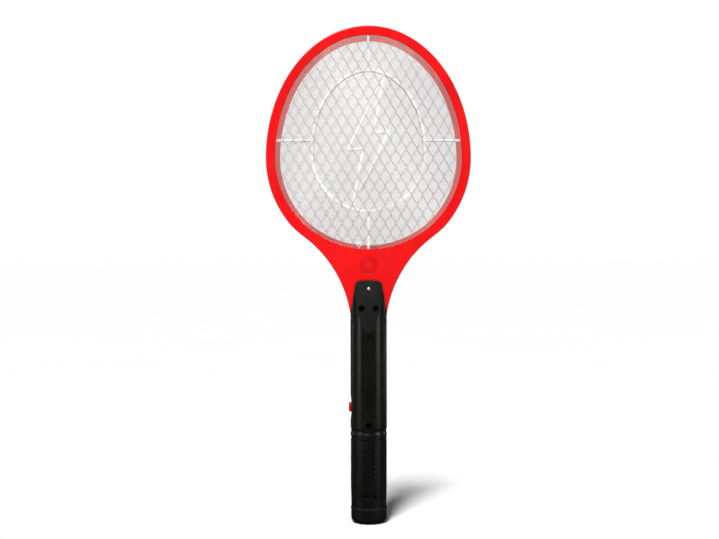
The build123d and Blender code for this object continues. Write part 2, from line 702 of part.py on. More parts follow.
with BuildPart() as core:
    with Locations((0, TRANSFORMER_Y, TRANSFORMER_Z)):
        Box(17, 6, 15)
        with Locations((-4.2, 0, 0), (4.2, 0, 0)):
            Box(4.0, 10, 10, mode=Mode.SUBTRACT)
keep(core, "transformer_core")

with BuildPart() as bobbin:
    with Locations((0, TRANSFORMER_Y, TRANSFORMER_Z)):
        Box(2 * LEG_HALF + 1.6, 7.8, 9.8)
        with Locations((0, 0, -4.4), (0, 0, 4.4)):
            Box(11.8, 12.6, 1.0)
        Box(2 * LEG_HALF + 0.1, 6.1, 12, mode=Mode.SUBTRACT)
keep(bobbin, "transformer_bobbin")

with BuildPart() as winding:
    with Locations((0, TRANSFORMER_Y, TRANSFORMER_Z)):
        Box(11.2, 12.0, 7.6)
        Box(2 * LEG_HALF + 1.7, 7.9, 10, mode=Mode.SUBTRACT)
    fillet(winding.edges().filter_by(Axis.Z).group_by(SortBy.DISTANCE)[-1], 1.5)
keep(winding, "transformer_winding")


def lying(x, z, radius, length, y):
    """A round component lying across the board, axis along X."""
    with Locations(Location((x, y, z), (0, 90, 0))):
        Cylinder(radius, length)


with BuildPart() as film_capacitor:
    with Locations((-5.2, BOARD_FRONT_Y - 4.3, CAPACITOR_Z)):
        Box(11, 7.4, 12)
    fillet(film_capacitor.edges().filter_by(Axis.Z), 1.6)
keep(film_capacitor, "hv_capacitor")

with BuildPart() as discs:
    for z in DISC_HEIGHTS:
        with Locations((6.4, BOARD_FRONT_Y - 4.2, z)):
            Cylinder(3.6, 2.4)
        with Locations((6.4, BOARD_FRONT_Y - 0.9, z)):
            Box(3.0, 1.6, 0.6)
keep(discs, "multiplier_capacitors")

with BuildPart() as diode_row:
    for z in DIODE_HEIGHTS:
        lying(-6.5, z, 1.3, 5.0, BOARD_FRONT_Y - 1.5)
        lying(-6.5, z, 0.35, 9.0, BOARD_FRONT_Y - 1.5)
keep(diode_row, "diodes")

with BuildPart() as resistor_row:
    for z in RESISTOR_HEIGHTS:
        lying(6.5, z, 1.1, 6.0, BOARD_FRONT_Y - 1.5)
        lying(6.5, z, 0.3, 9.5, BOARD_FRONT_Y - 1.5)
keep(resistor_row, "resistors")

TRANSISTOR_X = 5.0
TRANSISTOR_Z = 118.0
with BuildPart() as transistor:
    with BuildSketch(Plane.XZ.offset(-(BOARD_FRONT_Y - 3.0))):
        with Locations((TRANSISTOR_X, TRANSISTOR_Z)):
            Circle(2.4)
            with Locations((0, -2.4)):
                Rectangle(5, 2.2, mode=Mode.SUBTRACT)
    extrude(amount=4.6)
    for leg in (-1.3, 0, 1.3):
        with Locations((TRANSISTOR_X + leg, BOARD_FRONT_Y - 1.55, TRANSISTOR_Z + 0.3)):
            Box(0.5, 2.9, 0.5)
keep(transistor, "transistor")


# ================================================================ indicator lamp
led_front = facet_depth(LED_Z) + 0.9
with BuildPart() as lamp:
    with BuildSketch(FRONT.offset(led_front - LED_LENGTH)):
        with Locations((0, LED_Z)):
            Circle(LED_RADIUS)
    extrude(amount=LED_LENGTH)
    fillet(lamp.faces().sort_by(Axis.Y)[0].edges(), 1.2)
    with BuildSketch(FRONT.offset(led_front - LED_LENGTH)):
        with Locations((0, LED_Z)):
            Circle(LED_RADIUS + 0.4)
    extrude(amount=1.0)
keep(lamp, "led")


# ================================================================ wires
def wire(points, radius):
    """A round wire along a smooth path through the points."""
    with BuildLine() as path:
        Spline(*points)
    with BuildSketch(Plane(origin=path.line @ 0, z_dir=path.line % 0)) as section:
        Circle(radius)
    sweep(section.sketch, path=path.line)


with BuildPart() as hv_lead:
    wire([(0, 1.6, LEAD_START_Z), (0, 0, 200), (0, 0, 240), (0, 0, HV_LEAD_TOP_Z)], 0.7)
keep(hv_lead, "hv_lead")

with BuildPart() as ground_leads:
    for x, depth in ((FRONT_LEAD_X, -3.4), (REAR_LEAD_X, 3.4)):
        side = 1 if x > 0 else -1
        wire(
            [
                (side * 3.6, 0.8 + side * 0.8, LEAD_START_Z),
                (side * 3.2, depth * 0.7, 201),
                (side * 2.4, depth, NECK_SCREW_Z),
                (side * 2.4, depth, NECK_SCREW_Z + 12),
                (x, depth, GROUND_LEAD_TOP_Z - 16),
                (x, depth, GROUND_LEAD_TOP_Z),
            ],
            0.6,
        )
keep(ground_leads, "ground_leads")

with BuildPart() as led_leads:
    led_back = LED_LENGTH + 0.6 - led_front
    for x in (-0.9, 0.9):
        wire(
            [
                (x, led_back, LED_Z),
                (x, led_back + 2.2, LED_Z - 5),
                (x * 1.6, -2.6, 205),
                (x * 2, -1.0, LEAD_START_Z),
            ],
            0.35,
        )
keep(led_leads, "led_leads")

with BuildPart() as battery_leads:
    for x in (-CELL_X, CELL_X):
        wire([(x, 0, PLUG_TOP_Z + 0.3), (x * 1.1, 0.6, 98), (x, 2.0, BOARD_BOTTOM_Z - 0.6)], 0.6)
keep(battery_leads, "battery_leads")


# ================================================================ battery tray, cells and contacts
tray_base_z = CELL_WELL_BOTTOM_Z - TRAY_END_WALL
tray_head_z = CELL_WELL_TOP_Z + TRAY_END_WALL
with BuildPart() as tray:
    with BuildSketch(Plane.XY.offset(tray_base_z)):
        Circle(TRAY_RADIUS)
    extrude(amount=tray_head_z - tray_base_z)
    with BuildSketch(Plane.XY.offset(tray_head_z)):
        Circle(TRAY_RADIUS - 0.25)
    extrude(amount=PLUG_TOP_Z - tray_head_z)
    with BuildSketch(Plane.XY.offset(FLANGE_LOW_Z)):
        Circle(FLANGE_RADIUS)
    extrude(amount=FLANGE_HEIGHT)
    # two wells for the cells, open to the front
    with BuildSketch(Plane.XY.offset(CELL_WELL_BOTTOM_Z)):
        with Locations((-CELL_X, 0), (CELL_X, 0)):
            Circle(CELL_RADIUS + 0.15)
        Rectangle(WIDE, WIDE, align=(Align.CENTER, Align.MAX))
    extrude(amount=CELL_WELL_TOP_Z - CELL_WELL_BOTTOM_Z, mode=Mode.SUBTRACT)
    # seat for the bridge plate
    with BuildSketch(Plane.XY.offset(CELL_WELL_BOTTOM_Z)):
        Rectangle(25.4, 10.4)
    extrude(amount=CONTACT_THICK + 0.02, mode=Mode.SUBTRACT)
    # bar that shows through the sleeve's window
    with BuildSketch(Plane.XY.offset(CELL_WELL_BOTTOM_Z)):
        Circle(TRAY_RADIUS)
        Circle(TRAY_RADIUS - 1.2, mode=Mode.SUBTRACT)
        with Locations((0, -TRAY_RADIUS)):
            Rectangle(19, 14, mode=Mode.INTERSECT)
    extrude(amount=8)
    # the plug is hollow from above, and the leads pass through the top wall
    with BuildSketch(Plane.XY.offset(tray_head_z)):
        Circle(13.4)
    extrude(amount=WIDE, mode=Mode.SUBTRACT)
    with BuildSketch(Plane.XY.offset(CELL_WELL_TOP_Z - 1)):
        with Locations((-CELL_X, 0), (CELL_X, 0)):
            Circle(0.8)
    extrude(amount=5, mode=Mode.SUBTRACT)
keep(tray, "battery_tray")


def cell(label, x, bottom_z, nub_up):
    """One AA cell with its nub."""
    with BuildPart() as battery:
        with BuildSketch(Plane.XY.offset(bottom_z)):
            with Locations((x, 0)):
                Circle(CELL_RADIUS)
        extrude(amount=CELL_LENGTH)
        fillet(battery.edges().filter_by(GeomType.CIRCLE), 0.6)
        nub_z = bottom_z + CELL_LENGTH if nub_up else bottom_z - CELL_NUB
        with BuildSketch(Plane.XY.offset(nub_z)):
            with Locations((x, 0)):
                Circle(CELL_NUB_RADIUS)
        extrude(amount=CELL_NUB)
    keep(battery, label)


low_plate_z = CELL_WELL_BOTTOM_Z + CONTACT_THICK
high_plate_z = CELL_WELL_TOP_Z - CONTACT_THICK
cell("battery_left", -CELL_X, high_plate_z - CELL_NUB - CELL_LENGTH - SLIP, True)
cell("battery_right", CELL_X, low_plate_z + CELL_NUB + SLIP, False)


def contact_plate(label, bottom_z, centre_x, width):
    """Flat sprung-steel contact plate in an end wall of the tray."""
    with BuildPart() as plate:
        with BuildSketch(Plane.XY.offset(bottom_z + 0.02)):
            with Locations((centre_x, 0)):
                RectangleRounded(width, 10, 2)
        extrude(amount=CONTACT_THICK - 0.04)
    keep(plate, label)


contact_plate("bridge_contact", CELL_WELL_BOTTOM_Z, 0, 25)
contact_plate("positive_terminal", high_plate_z, -CELL_X, 11)
contact_plate("negative_terminal", high_plate_z, CELL_X, 11)


def contact_spring(label, x, low_z, high_z, wide_end_low):
    """Conical contact spring between a plate and the flat end of a cell."""
    wide, narrow, thick = 4.6, 2.6, 0.35
    height = high_z - low_z - 2 * thick - 0.1
    turns = 3.5
    direction = (0, 0, 1) if wide_end_low else (0, 0, -1)
    start_z = low_z + thick + 0.05 if wide_end_low else high_z - thick - 0.05
    cone = -degrees(atan2(wide - narrow, height))
    with BuildPart() as spring:
        with BuildLine() as coil:
            Helix(height / turns, height, wide, (x, 0, start_z), direction, cone_angle=cone)
        with BuildSketch(Plane(origin=coil.line @ 0, z_dir=coil.line % 0)):
            Circle(thick)
        sweep(path=coil.line, is_frenet=True)
    keep(spring, label)


contact_spring("left_spring", -CELL_X, low_plate_z, high_plate_z - CELL_NUB - CELL_LENGTH - SLIP, True)
contact_spring("right_spring", CELL_X, low_plate_z + CELL_NUB + SLIP + CELL_LENGTH, high_plate_z, False)


# ================================================================ battery sleeve and end cap
SLEEVE_BOTTOM_Z = CAP_HEIGHT + 0.5

with BuildSketch(FRONT) as pad_surround:
    with Locations((0, PAD_Z)):
        Rectangle(PAD_WIDTH + 2, PAD_HEIGHT + 1)
        Rectangle(PAD_WIDTH, PAD_HEIGHT + 2, mode=Mode.SUBTRACT)
    with Locations((0, NOTCH_Z)):
        Trapezoid(9, 3.2, 70, align=(Align.CENTER, Align.CENTER))
pad_groove = engraving(pad_surround, SLEEVE_WAIST_RADIUS - 0.6, -1)

with BuildPart() as sleeve:
    with BuildSketch(Plane.XZ):
        with BuildLine():
            outer = Spline(
                (SLEEVE_WAIST_RADIUS, SLEEVE_WAIST_Z),
                (SLEEVE_RADIUS, SLEEVE_STRAIGHT_Z),
                tangents=((0, 1), (0, 1)),
            )
            Polyline(
                outer @ 1,
                (SLEEVE_RADIUS, SLEEVE_TOP_Z),
                (SLEEVE_INNER_RADIUS, SLEEVE_TOP_Z),
                (SLEEVE_INNER_RADIUS, SLEEVE_BOTTOM_Z),
                (SLEEVE_WAIST_RADIUS, SLEEVE_BOTTOM_Z),
                outer @ 0,
            )
        make_face()
    revolve(axis=Axis.Z)
    # two columns of grip pips
    for row in range(PIP_ROWS):
        for x in (-PIP_X, PIP_X):
            with BuildSketch(FRONT.offset(SLEEVE_INNER_RADIUS)):
                with Locations((x, PIP_TOP_Z - row * PIP_PITCH)):
                    Circle(PIP_RADIUS)
            extrude(amount=PIP_FACE - SLEEVE_INNER_RADIUS)
    # grooves that leave the thumb pad standing, and the window over it
    add(pad_groove, mode=Mode.SUBTRACT)
    with BuildSketch(FRONT.offset(10)):
        with Locations((0, WINDOW_Z)):
            RectangleRounded(WINDOW_WIDTH, WINDOW_HEIGHT, 0.6)
    extrude(amount=15, mode=Mode.SUBTRACT)
keep(sleeve, "battery_sleeve")

with BuildPart() as cap:
    with BuildSketch(Plane.XY):
        Circle(CAP_RADIUS)
    extrude(amount=CAP_HEIGHT)
    fillet(cap.edges().group_by(Axis.Z)[0], CAP_BOTTOM_FILLET)
    # rim round the cap's upper edge, over a fine groove
    with BuildSketch(Plane.XY.offset(CAP_HEIGHT - CAP_RIM_HEIGHT)):
        Circle(CAP_RIM_RADIUS)
    extrude(amount=CAP_RIM_HEIGHT)
    chamfer(cap.edges().group_by(Axis.Z)[-1], 0.4)
    with BuildSketch(Plane.XY.offset(CAP_HEIGHT - CAP_RIM_HEIGHT - CAP_GROOVE_HEIGHT)):
        Circle(WIDE)
        Circle(CAP_RADIUS - 0.5, mode=Mode.SUBTRACT)
    extrude(amount=CAP_GROOVE_HEIGHT, mode=Mode.SUBTRACT)
    with BuildSketch(Plane.XY.offset(CAP_HEIGHT)):
        Circle(SLEEVE_WAIST_RADIUS - 0.5)
    extrude(amount=SLEEVE_BOTTOM_Z - CAP_HEIGHT)
    with BuildSketch(Plane.XY.offset(CAP_HEIGHT)):
        Circle(SLEEVE_INNER_RADIUS - 0.03)
    extrude(amount=SPIGOT_HEIGHT)
    # hollow inside
    with BuildSketch(Plane.XY.offset(3.0)):
        Circle(11.0)
    extrude(amount=8, mode=Mode.SUBTRACT)
    with BuildSketch(Plane.XY.offset(8.0)):
        Circle(14.2)
    extrude(amount=WIDE, mode=Mode.SUBTRACT)
keep(cap, "end_cap")
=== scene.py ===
"""Looks of the electric fly swatter: finishes, drawn meshes, cells, studio and camera."""
import json
import math

import bmesh
import bpy
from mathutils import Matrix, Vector


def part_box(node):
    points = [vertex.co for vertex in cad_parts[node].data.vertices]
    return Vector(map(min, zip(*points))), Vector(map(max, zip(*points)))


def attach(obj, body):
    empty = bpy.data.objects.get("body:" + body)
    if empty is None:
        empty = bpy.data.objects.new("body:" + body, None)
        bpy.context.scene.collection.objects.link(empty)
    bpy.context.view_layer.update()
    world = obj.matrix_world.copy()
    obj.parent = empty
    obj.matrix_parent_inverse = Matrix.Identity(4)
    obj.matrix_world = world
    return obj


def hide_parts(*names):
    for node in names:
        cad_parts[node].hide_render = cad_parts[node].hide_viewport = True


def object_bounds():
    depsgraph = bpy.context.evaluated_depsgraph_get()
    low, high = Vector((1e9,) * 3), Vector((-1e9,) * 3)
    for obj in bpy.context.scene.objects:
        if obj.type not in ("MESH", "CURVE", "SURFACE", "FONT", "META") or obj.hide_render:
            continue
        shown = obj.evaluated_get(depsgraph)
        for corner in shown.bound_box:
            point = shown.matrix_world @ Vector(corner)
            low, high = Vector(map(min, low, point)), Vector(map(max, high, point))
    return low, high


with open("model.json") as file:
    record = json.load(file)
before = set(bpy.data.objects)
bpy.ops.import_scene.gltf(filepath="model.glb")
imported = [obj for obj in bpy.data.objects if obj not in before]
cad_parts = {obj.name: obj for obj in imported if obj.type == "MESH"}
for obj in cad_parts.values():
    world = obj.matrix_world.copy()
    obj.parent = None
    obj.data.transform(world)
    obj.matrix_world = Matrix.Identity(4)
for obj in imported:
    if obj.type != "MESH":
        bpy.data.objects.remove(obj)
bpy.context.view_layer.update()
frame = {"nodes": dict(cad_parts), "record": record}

MM = 0.001

# ---------------------------------------------------------------- places read from the frame
grid_low, grid_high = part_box("centre_grid")
mesh_low, mesh_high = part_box("front_mesh")
rear_mesh_low, rear_mesh_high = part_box("rear_mesh")
WIDEST_SHARE = 0.43193           # height of the egg's widest line, as a share of the grid's height
egg_z = grid_low.z + WIDEST_SHARE * (grid_high.z - grid_low.z)
rim_half = grid_high.x           # the rims of the meshes and the grid share one outline
rim_rise = grid_high.z - egg_z
rim_drop = egg_z - grid_low.z


# ================================================================ node helpers
def new_material(name):
    """An empty node material with its output and principled shader."""
    material = bpy.data.materials.new(name)
    material.use_nodes = True
    tree = material.node_tree
    shader = tree.nodes["Principled BSDF"]
    return material, tree, shader


def add(tree, kind, **settings):
    """A node with its inputs or properties set by name; an input given a socket is linked to it."""
    node = tree.nodes.new(kind)
    for name, value in settings.items():
        key = name.replace("_", " ")
        if key in node.inputs:
            if isinstance(value, bpy.types.NodeSocket):
                tree.links.new(value, node.inputs[key])
            else:
                node.inputs[key].default_value = value
        else:
            setattr(node, name, value)
    return node


def maths(tree, operation, a, b):
    """A maths node on two values or sockets; returns its result."""
    node = tree.nodes.new("ShaderNodeMath")
    node.operation = operation
    for index, value in enumerate((a, b)):
        if isinstance(value, bpy.types.NodeSocket):
            tree.links.new(value, node.inputs[index])
        else:
            node.inputs[index].default_value = value
    return node.outputs[0]


def mix_colour(tree, share, a, b):
    """Mixes two colours or sockets by a share; returns the colour."""
    node = tree.nodes.new("ShaderNodeMix")
    node.data_type = "RGBA"
    for index, value in ((0, share), (6, a), (7, b)):
        if isinstance(value, bpy.types.NodeSocket):
            tree.links.new(value, node.inputs[index])
        elif index == 0:
            node.inputs[index].default_value = value
        else:
            node.inputs[index].default_value = (*value, 1.0)
    return node.outputs[2]


def noise(tree, scale, detail=3.0, roughness=0.55, stretch=(1, 1, 1)):
    """Object-space noise, scale in waves per metre; returns the grey value."""
    place = add(tree, "ShaderNodeTexCoord")
    mapping = add(tree, "ShaderNodeMapping", Vector=place.outputs["Object"], Scale=stretch)
    texture = add(
        tree, "ShaderNodeTexNoise",
        Vector=mapping.outputs[0], Scale=scale, Detail=detail, Roughness=roughness,
    )
    return texture.outputs[0]


def ramp(tree, value, low, high, out_low=0.0, out_high=1.0):
    """Maps a value range to another, clamped."""
    node = add(tree, "ShaderNodeMapRange", Value=value)
    node.inputs[1].default_value = low
    node.inputs[2].default_value = high
    node.inputs[3].default_value = out_low
    node.inputs[4].default_value = out_high
    return node.outputs[0]


OPEN_NORMALS, EDGE_NORMALS = 0.995, 0.86    # bevelled normal times true one, on a face and on an edge
OPEN_SHADE, GROOVE_SHADE = 0.93, 0.5        # ambient occlusion on a face and deep in a groove


def edge_mask(tree, radius):
    """1 on edges, 0 on open faces, by comparing a bevelled normal with the true one."""
    bevel = add(tree, "ShaderNodeBevel", samples=4, Radius=radius)
    geometry = add(tree, "ShaderNodeNewGeometry")
    dot = add(tree, "ShaderNodeVectorMath", operation="DOT_PRODUCT")
    tree.links.new(bevel.outputs[0], dot.inputs[0])
    tree.links.new(geometry.outputs["Normal"], dot.inputs[1])
    return ramp(tree, dot.outputs["Value"], OPEN_NORMALS, EDGE_NORMALS)


def crevice_mask(tree, reach):
    """1 deep in a narrow groove or an inner corner, 0 on open faces, by ambient occlusion; it sets where
    shade is painted.
    """
    shade = add(tree, "ShaderNodeAmbientOcclusion", samples=6, Distance=reach)
    return ramp(tree, shade.outputs["AO"], OPEN_SHADE, GROOVE_SHADE)


def bump(tree, shader, height, strength, distance):
    """Raises the surface by a grey value times a distance."""
    node = add(tree, "ShaderNodeBump", Strength=strength, Distance=distance, Height=height)
    tree.links.new(node.outputs[0], shader.inputs["Normal"])


# ================================================================ finishes
# waves per metre
DRIFT_WAVES, SPECK_WAVES, PATCH_WAVES, SMEAR_WAVES, SWELL_WAVES = 22, 900, 260, 60, 90
# third tone: painted shade, the colour that grooves and inner corners are darkened towards
DARK_TONE, LIGHT_TONE, PAINTED_SHADE_TONE = 0.86, 1.12, 0.3
WORN_RADIUS = 0.7 * MM
# how far the ambient occlusion looks, and how strongly it darkens: painted shade in grooves and inner
# corners
PAINTED_SHADE_REACH = 1.6 * MM
PAINTED_SHADE_SHARE = 0.8
SWELL_SHARE = 2.0                # height of the slow swell, as a share of the grain's


def moulded_plastic(name, colour, rough, grain_waves, grain_depth, wear, wear_share=0.35, specular=0.5):
    """Moulded plastic: colour drift, eroded grain, smears in the gloss, rubbed edges and painted shade in
    grooves and inner corners.
    """
    material, tree, shader = new_material(name)
    drift = noise(tree, DRIFT_WAVES, 4)
    speck = noise(tree, SPECK_WAVES, 2)
    dark = tuple(c * DARK_TONE for c in colour)
    light = tuple(min(1, c * LIGHT_TONE) for c in colour)
    base = mix_colour(tree, ramp(tree, drift, 0.35, 0.65), dark, light)
    base = mix_colour(tree, ramp(tree, speck, 0.45, 0.75, 0.0, 0.12), base, dark)
    patches = ramp(tree, noise(tree, PATCH_WAVES, 5), 0.42, 0.68)
    edges = maths(tree, "MULTIPLY", edge_mask(tree, WORN_RADIUS), patches)
    rubbed = maths(tree, "MULTIPLY", edges, wear_share)
    base = mix_colour(tree, rubbed, base, wear)
    # painted shade: grooves and inner corners found by ambient occlusion are darkened towards a third of
    # the colour
    painted_shade = maths(tree, "MULTIPLY", crevice_mask(tree, PAINTED_SHADE_REACH), PAINTED_SHADE_SHARE)
    base = mix_colour(tree, painted_shade, base, tuple(c * PAINTED_SHADE_TONE for c in colour))
    tree.links.new(base, shader.inputs["Base Color"])
    smear = noise(tree, SMEAR_WAVES, 5, 0.6, (1, 1, 0.35))
    gloss = ramp(tree, smear, 0.3, 0.7, rough - 0.06, rough + 0.08)
    duller = maths(tree, "ADD", gloss, maths(tree, "MULTIPLY", rubbed, 0.15))
    tree.links.new(duller, shader.inputs["Roughness"])
    shader.inputs["Specular IOR Level"].default_value = specular
    grain = noise(tree, grain_waves, 3, 0.6)
    swell = maths(tree, "MULTIPLY", noise(tree, SWELL_WAVES, 2), SWELL_SHARE)
    bump(tree, shader, maths(tree, "ADD", grain, swell), 1.0, grain_depth)
    return material


TARNISH_WAVES, PIT_WAVES, MARK_WAVES = 140, 1800, 1500      # per metre
TARNISH_TONE = 0.55
MARK_DEPTH = 0.03 * MM


def drawn_metal(name, colour, rough, metallic=1.0):
    """Thin worked metal: fine draw marks, duller patches and small pits."""
    material, tree, shader = new_material(name)
    tarnish = tuple(c * TARNISH_TONE for c in colour)
    patch = ramp(tree, noise(tree, TARNISH_WAVES, 5), 0.45, 0.75, 0.0, 0.35)
    base = mix_colour(tree, patch, colour, tarnish)
    base = mix_colour(tree, ramp(tree, noise(tree, PIT_WAVES, 2), 0.4, 0.8, 0.0, 0.2), base, tarnish)
    tree.links.new(base, shader.inputs["Base Color"])
    shader.inputs["Metallic"].default_value = metallic
    marks = noise(tree, MARK_WAVES, 3, 0.6)
    tree.links.new(ramp(tree, marks, 0.3, 0.7, rough - 0.07, rough + 0.1), shader.inputs["Roughness"])
    bump(tree, shader, marks, 0.6, MARK_DEPTH)
    return material


def lamp_lens(name):
    """Diffused epoxy lamp: milky, a little see-through, warmer towards its core."""
    material, tree, shader = new_material(name)
    cloud = noise(tree, 700, 3)
    base = mix_colour(tree, ramp(tree, cloud, 0.3, 0.7), (0.93, 0.50, 0.50), (0.98, 0.80, 0.78))
    tree.links.new(base, shader.inputs["Base Color"])
    shader.inputs["Roughness"].default_value = 0.12
    shader.inputs["Transmission Weight"].default_value = 0.35
    shader.inputs["Coat Weight"].default_value = 0.6
    shader.inputs["Subsurface Weight"].default_value = 0.2
    shader.inputs["Subsurface Radius"].default_value = (1.5 * MM, 0.8 * MM, 0.8 * MM)
    bump(tree, shader, noise(tree, 2500, 2), 0.3, 0.01 * MM)
    return material


def laminate(name):
    """Paper-phenolic board with faint fibres and solder-mask mottling."""
    material, tree, shader = new_material(name)
    fibre = noise(tree, 420, 6, 0.7, (1, 1, 0.12))
    base = mix_colour(tree, ramp(tree, fibre, 0.35, 0.65), (0.30, 0.17, 0.055), (0.44, 0.28, 0.10))
    tree.links.new(base, shader.inputs["Base Color"])
    tree.links.new(ramp(tree, noise(tree, 200), 0.3, 0.7, 0.3, 0.5), shader.inputs["Roughness"])
    bump(tree, shader, fibre, 0.5, 0.05 * MM)
    return material


GOLD_PART = 0.32                 # the gold band's share of the cell's length
BAND_BLUR = 0.15 * MM


def cell_jacket(name, low_z, high_z, nub_up):
    """Foil jacket of a cell: two plain bands, black towards the flat end and gold towards the nub."""
    material, tree, shader = new_material(name)
    place = add(tree, "ShaderNodeTexCoord")
    split = add(tree, "ShaderNodeSeparateXYZ", Vector=place.outputs["Object"])
    join = low_z + (high_z - low_z) * (1 - GOLD_PART if nub_up else GOLD_PART)
    ends = (0, 1) if nub_up else (1, 0)
    gold_share = ramp(tree, split.outputs[2], join - BAND_BLUR, join + BAND_BLUR, *ends)
    cloud = ramp(tree, noise(tree, 120, 4), 0.3, 0.7)
    gold = mix_colour(tree, cloud, (0.72, 0.42, 0.12), (0.83, 0.52, 0.18))
    black = mix_colour(tree, cloud, (0.012, 0.012, 0.014), (0.03, 0.03, 0.034))
    tree.links.new(mix_colour(tree, gold_share, black, gold), shader.inputs["Base Color"])
    tree.links.new(maths(tree, "MULTIPLY", gold_share, 0.85), shader.inputs["Metallic"])
    tree.links.new(ramp(tree, noise(tree, 300, 4), 0.3, 0.7, 0.2, 0.36), shader.inputs["Roughness"])
    bump(tree, shader, noise(tree, 1400, 3), 0.4, 0.03 * MM)
    return material


finishes = {
    "red_plastic": moulded_plastic(
        "red_plastic", colour=(0.68, 0.0026, 0.0038), rough=0.36, grain_waves=2600,
        grain_depth=0.02 * MM, wear=(0.90, 0.05, 0.05), wear_share=0.25, specular=0.16),
    "black_plastic": moulded_plastic(
        "black_plastic", colour=(0.0034, 0.0034, 0.0031), rough=0.30, grain_waves=3000,
        grain_depth=0.03 * MM, wear=(0.035, 0.035, 0.033), wear_share=0.4, specular=0.32),
    # Painted shade: a darker copy of the black plastic, given to the battery sleeve and end cap to stand
    # in for the shade low on the handle.
    "shade_darkened_black_plastic": moulded_plastic(
        "shade_darkened_black_plastic", colour=(0.0019, 0.0019, 0.0017), rough=0.34, grain_waves=3000,
        grain_depth=0.03 * MM, wear=(0.05, 0.05, 0.048), wear_share=0.6, specular=0.36),
    "white_plastic": moulded_plastic(
        "white_plastic", colour=(0.72, 0.70, 0.675), rough=0.5, grain_waves=2200,
        grain_depth=0.02 * MM, wear=(0.80, 0.79, 0.76)),
    "button_plastic": moulded_plastic(
        "button_plastic", colour=(0.45, 0.003, 0.006), rough=0.22, grain_waves=2600,
        grain_depth=0.01 * MM, wear=(0.7, 0.05, 0.05), specular=0.4),
    "component_plastic": moulded_plastic(
        "component_plastic", colour=(0.02, 0.02, 0.021), rough=0.45, grain_waves=3200,
        grain_depth=0.02 * MM, wear=(0.1, 0.1, 0.1)),
    "mesh_metal": drawn_metal("mesh_metal", colour=(0.40, 0.38, 0.36), rough=0.36, metallic=0.6),
    "grid_metal": drawn_metal("grid_metal", colour=(0.60, 0.575, 0.55), rough=0.42, metallic=0.3),
    "screw_steel": drawn_metal("screw_steel", colour=(0.018, 0.0178, 0.017), rough=0.3),
    "solder": drawn_metal("solder", colour=(0.90, 0.89, 0.87), rough=0.38, metallic=0.25),
    "contact_steel": drawn_metal("contact_steel", colour=(0.72, 0.70, 0.66), rough=0.26),
    "board_laminate": laminate("board_laminate"),
    "ferrite": moulded_plastic(
        "ferrite", colour=(0.045, 0.045, 0.05), rough=0.6, grain_waves=1500,
        grain_depth=0.05 * MM, wear=(0.14, 0.14, 0.15)),
    "winding_tape": moulded_plastic(
        "winding_tape", colour=(0.80, 0.56, 0.06), rough=0.28, grain_waves=900,
        grain_depth=0.03 * MM, wear=(0.9, 0.75, 0.3)),
    "capacitor_coating": moulded_plastic(
        "capacitor_coating", colour=(0.40, 0.07, 0.025), rough=0.2, grain_waves=500,
        grain_depth=0.05 * MM, wear=(0.6, 0.2, 0.1)),
    "disc_ceramic": moulded_plastic(
        "disc_ceramic", colour=(0.03, 0.15, 0.50), rough=0.25, grain_waves=700,
        grain_depth=0.06 * MM, wear=(0.2, 0.35, 0.7)),
    "resistor_coating": moulded_plastic(
        "resistor_coating", colour=(0.60, 0.45, 0.26), rough=0.32, grain_waves=900,
        grain_depth=0.04 * MM, wear=(0.7, 0.6, 0.45)),
    "lamp_lens": lamp_lens("lamp_lens"),
    "red_wire": moulded_plastic(
        "red_wire", colour=(0.55, 0.012, 0.012), rough=0.34, grain_waves=1800,
        grain_depth=0.02 * MM, wear=(0.7, 0.1, 0.1)),
    "black_wire": moulded_plastic(
        "black_wire", colour=(0.02, 0.02, 0.02), rough=0.36, grain_waves=1800,
        grain_depth=0.02 * MM, wear=(0.1, 0.1, 0.1)),
}
low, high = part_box("battery_left")
left_jacket = cell_jacket("left_cell_jacket", low.z, high.z, nub_up=True)
low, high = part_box("battery_right")
right_jacket = cell_jacket("right_cell_jacket", low.z, high.z, nub_up=False)

slot_of = {entry["node"]: entry["material_slot"] for entry in frame["record"]["subparts"]}
for name, node in frame["nodes"].items():
    finish = finishes.get(slot_of[name])
    if name == "battery_left":
        finish = left_jacket
    if name == "battery_right":
        finish = right_jacket
    # painted shade: the sleeve and end cap take the darker copy of the black plastic
    if name in ("battery_sleeve", "end_cap"):
        finish = finishes["shade_darkened_black_plastic"]
    node.data.materials.clear()
    node.data.materials.append(finish)


# ================================================================ rounded edges on the CAD pieces
SHARP_ANGLE = math.radians(32)   # edges that turn further than this are rounded
WELD_GAP = 0.001 * MM
EDGE_ROUNDING = {                # in millimetres
    "front_frame": 0.35,
    "rear_frame": 0.35,
    "front_separator": 0.35,
    "rear_separator": 0.35,
    "handle_front_shell": 0.3,
    "handle_rear_shell": 0.3,
    "handle_screws": 0.15,
    "push_button": 0.25,
    "battery_sleeve": 0.2,
    "end_cap": 0.25,
    "battery_tray": 0.25,
    "transformer_core": 0.3,
    "transformer_bobbin": 0.15,
    "circuit_board": 0.1,
    "switch_body": 0.2,
    "hv_capacitor": 0.8,
    "multiplier_capacitors": 0.5,
}
for name, width in EDGE_ROUNDING.items():
    node = frame["nodes"][name]
    weld = node.modifiers.new("weld", "WELD")
    weld.merge_threshold = WELD_GAP
    bevel = node.modifiers.new("bevel", "BEVEL")
    bevel.width = width * MM
    bevel.segments = 2
    bevel.limit_method = "ANGLE"
    bevel.angle_limit = SHARP_ANGLE
    bevel.use_clamp_overlap = True
    weighted = node.modifiers.new("weighted", "WEIGHTED_NORMAL")
    weighted.keep_sharp = True


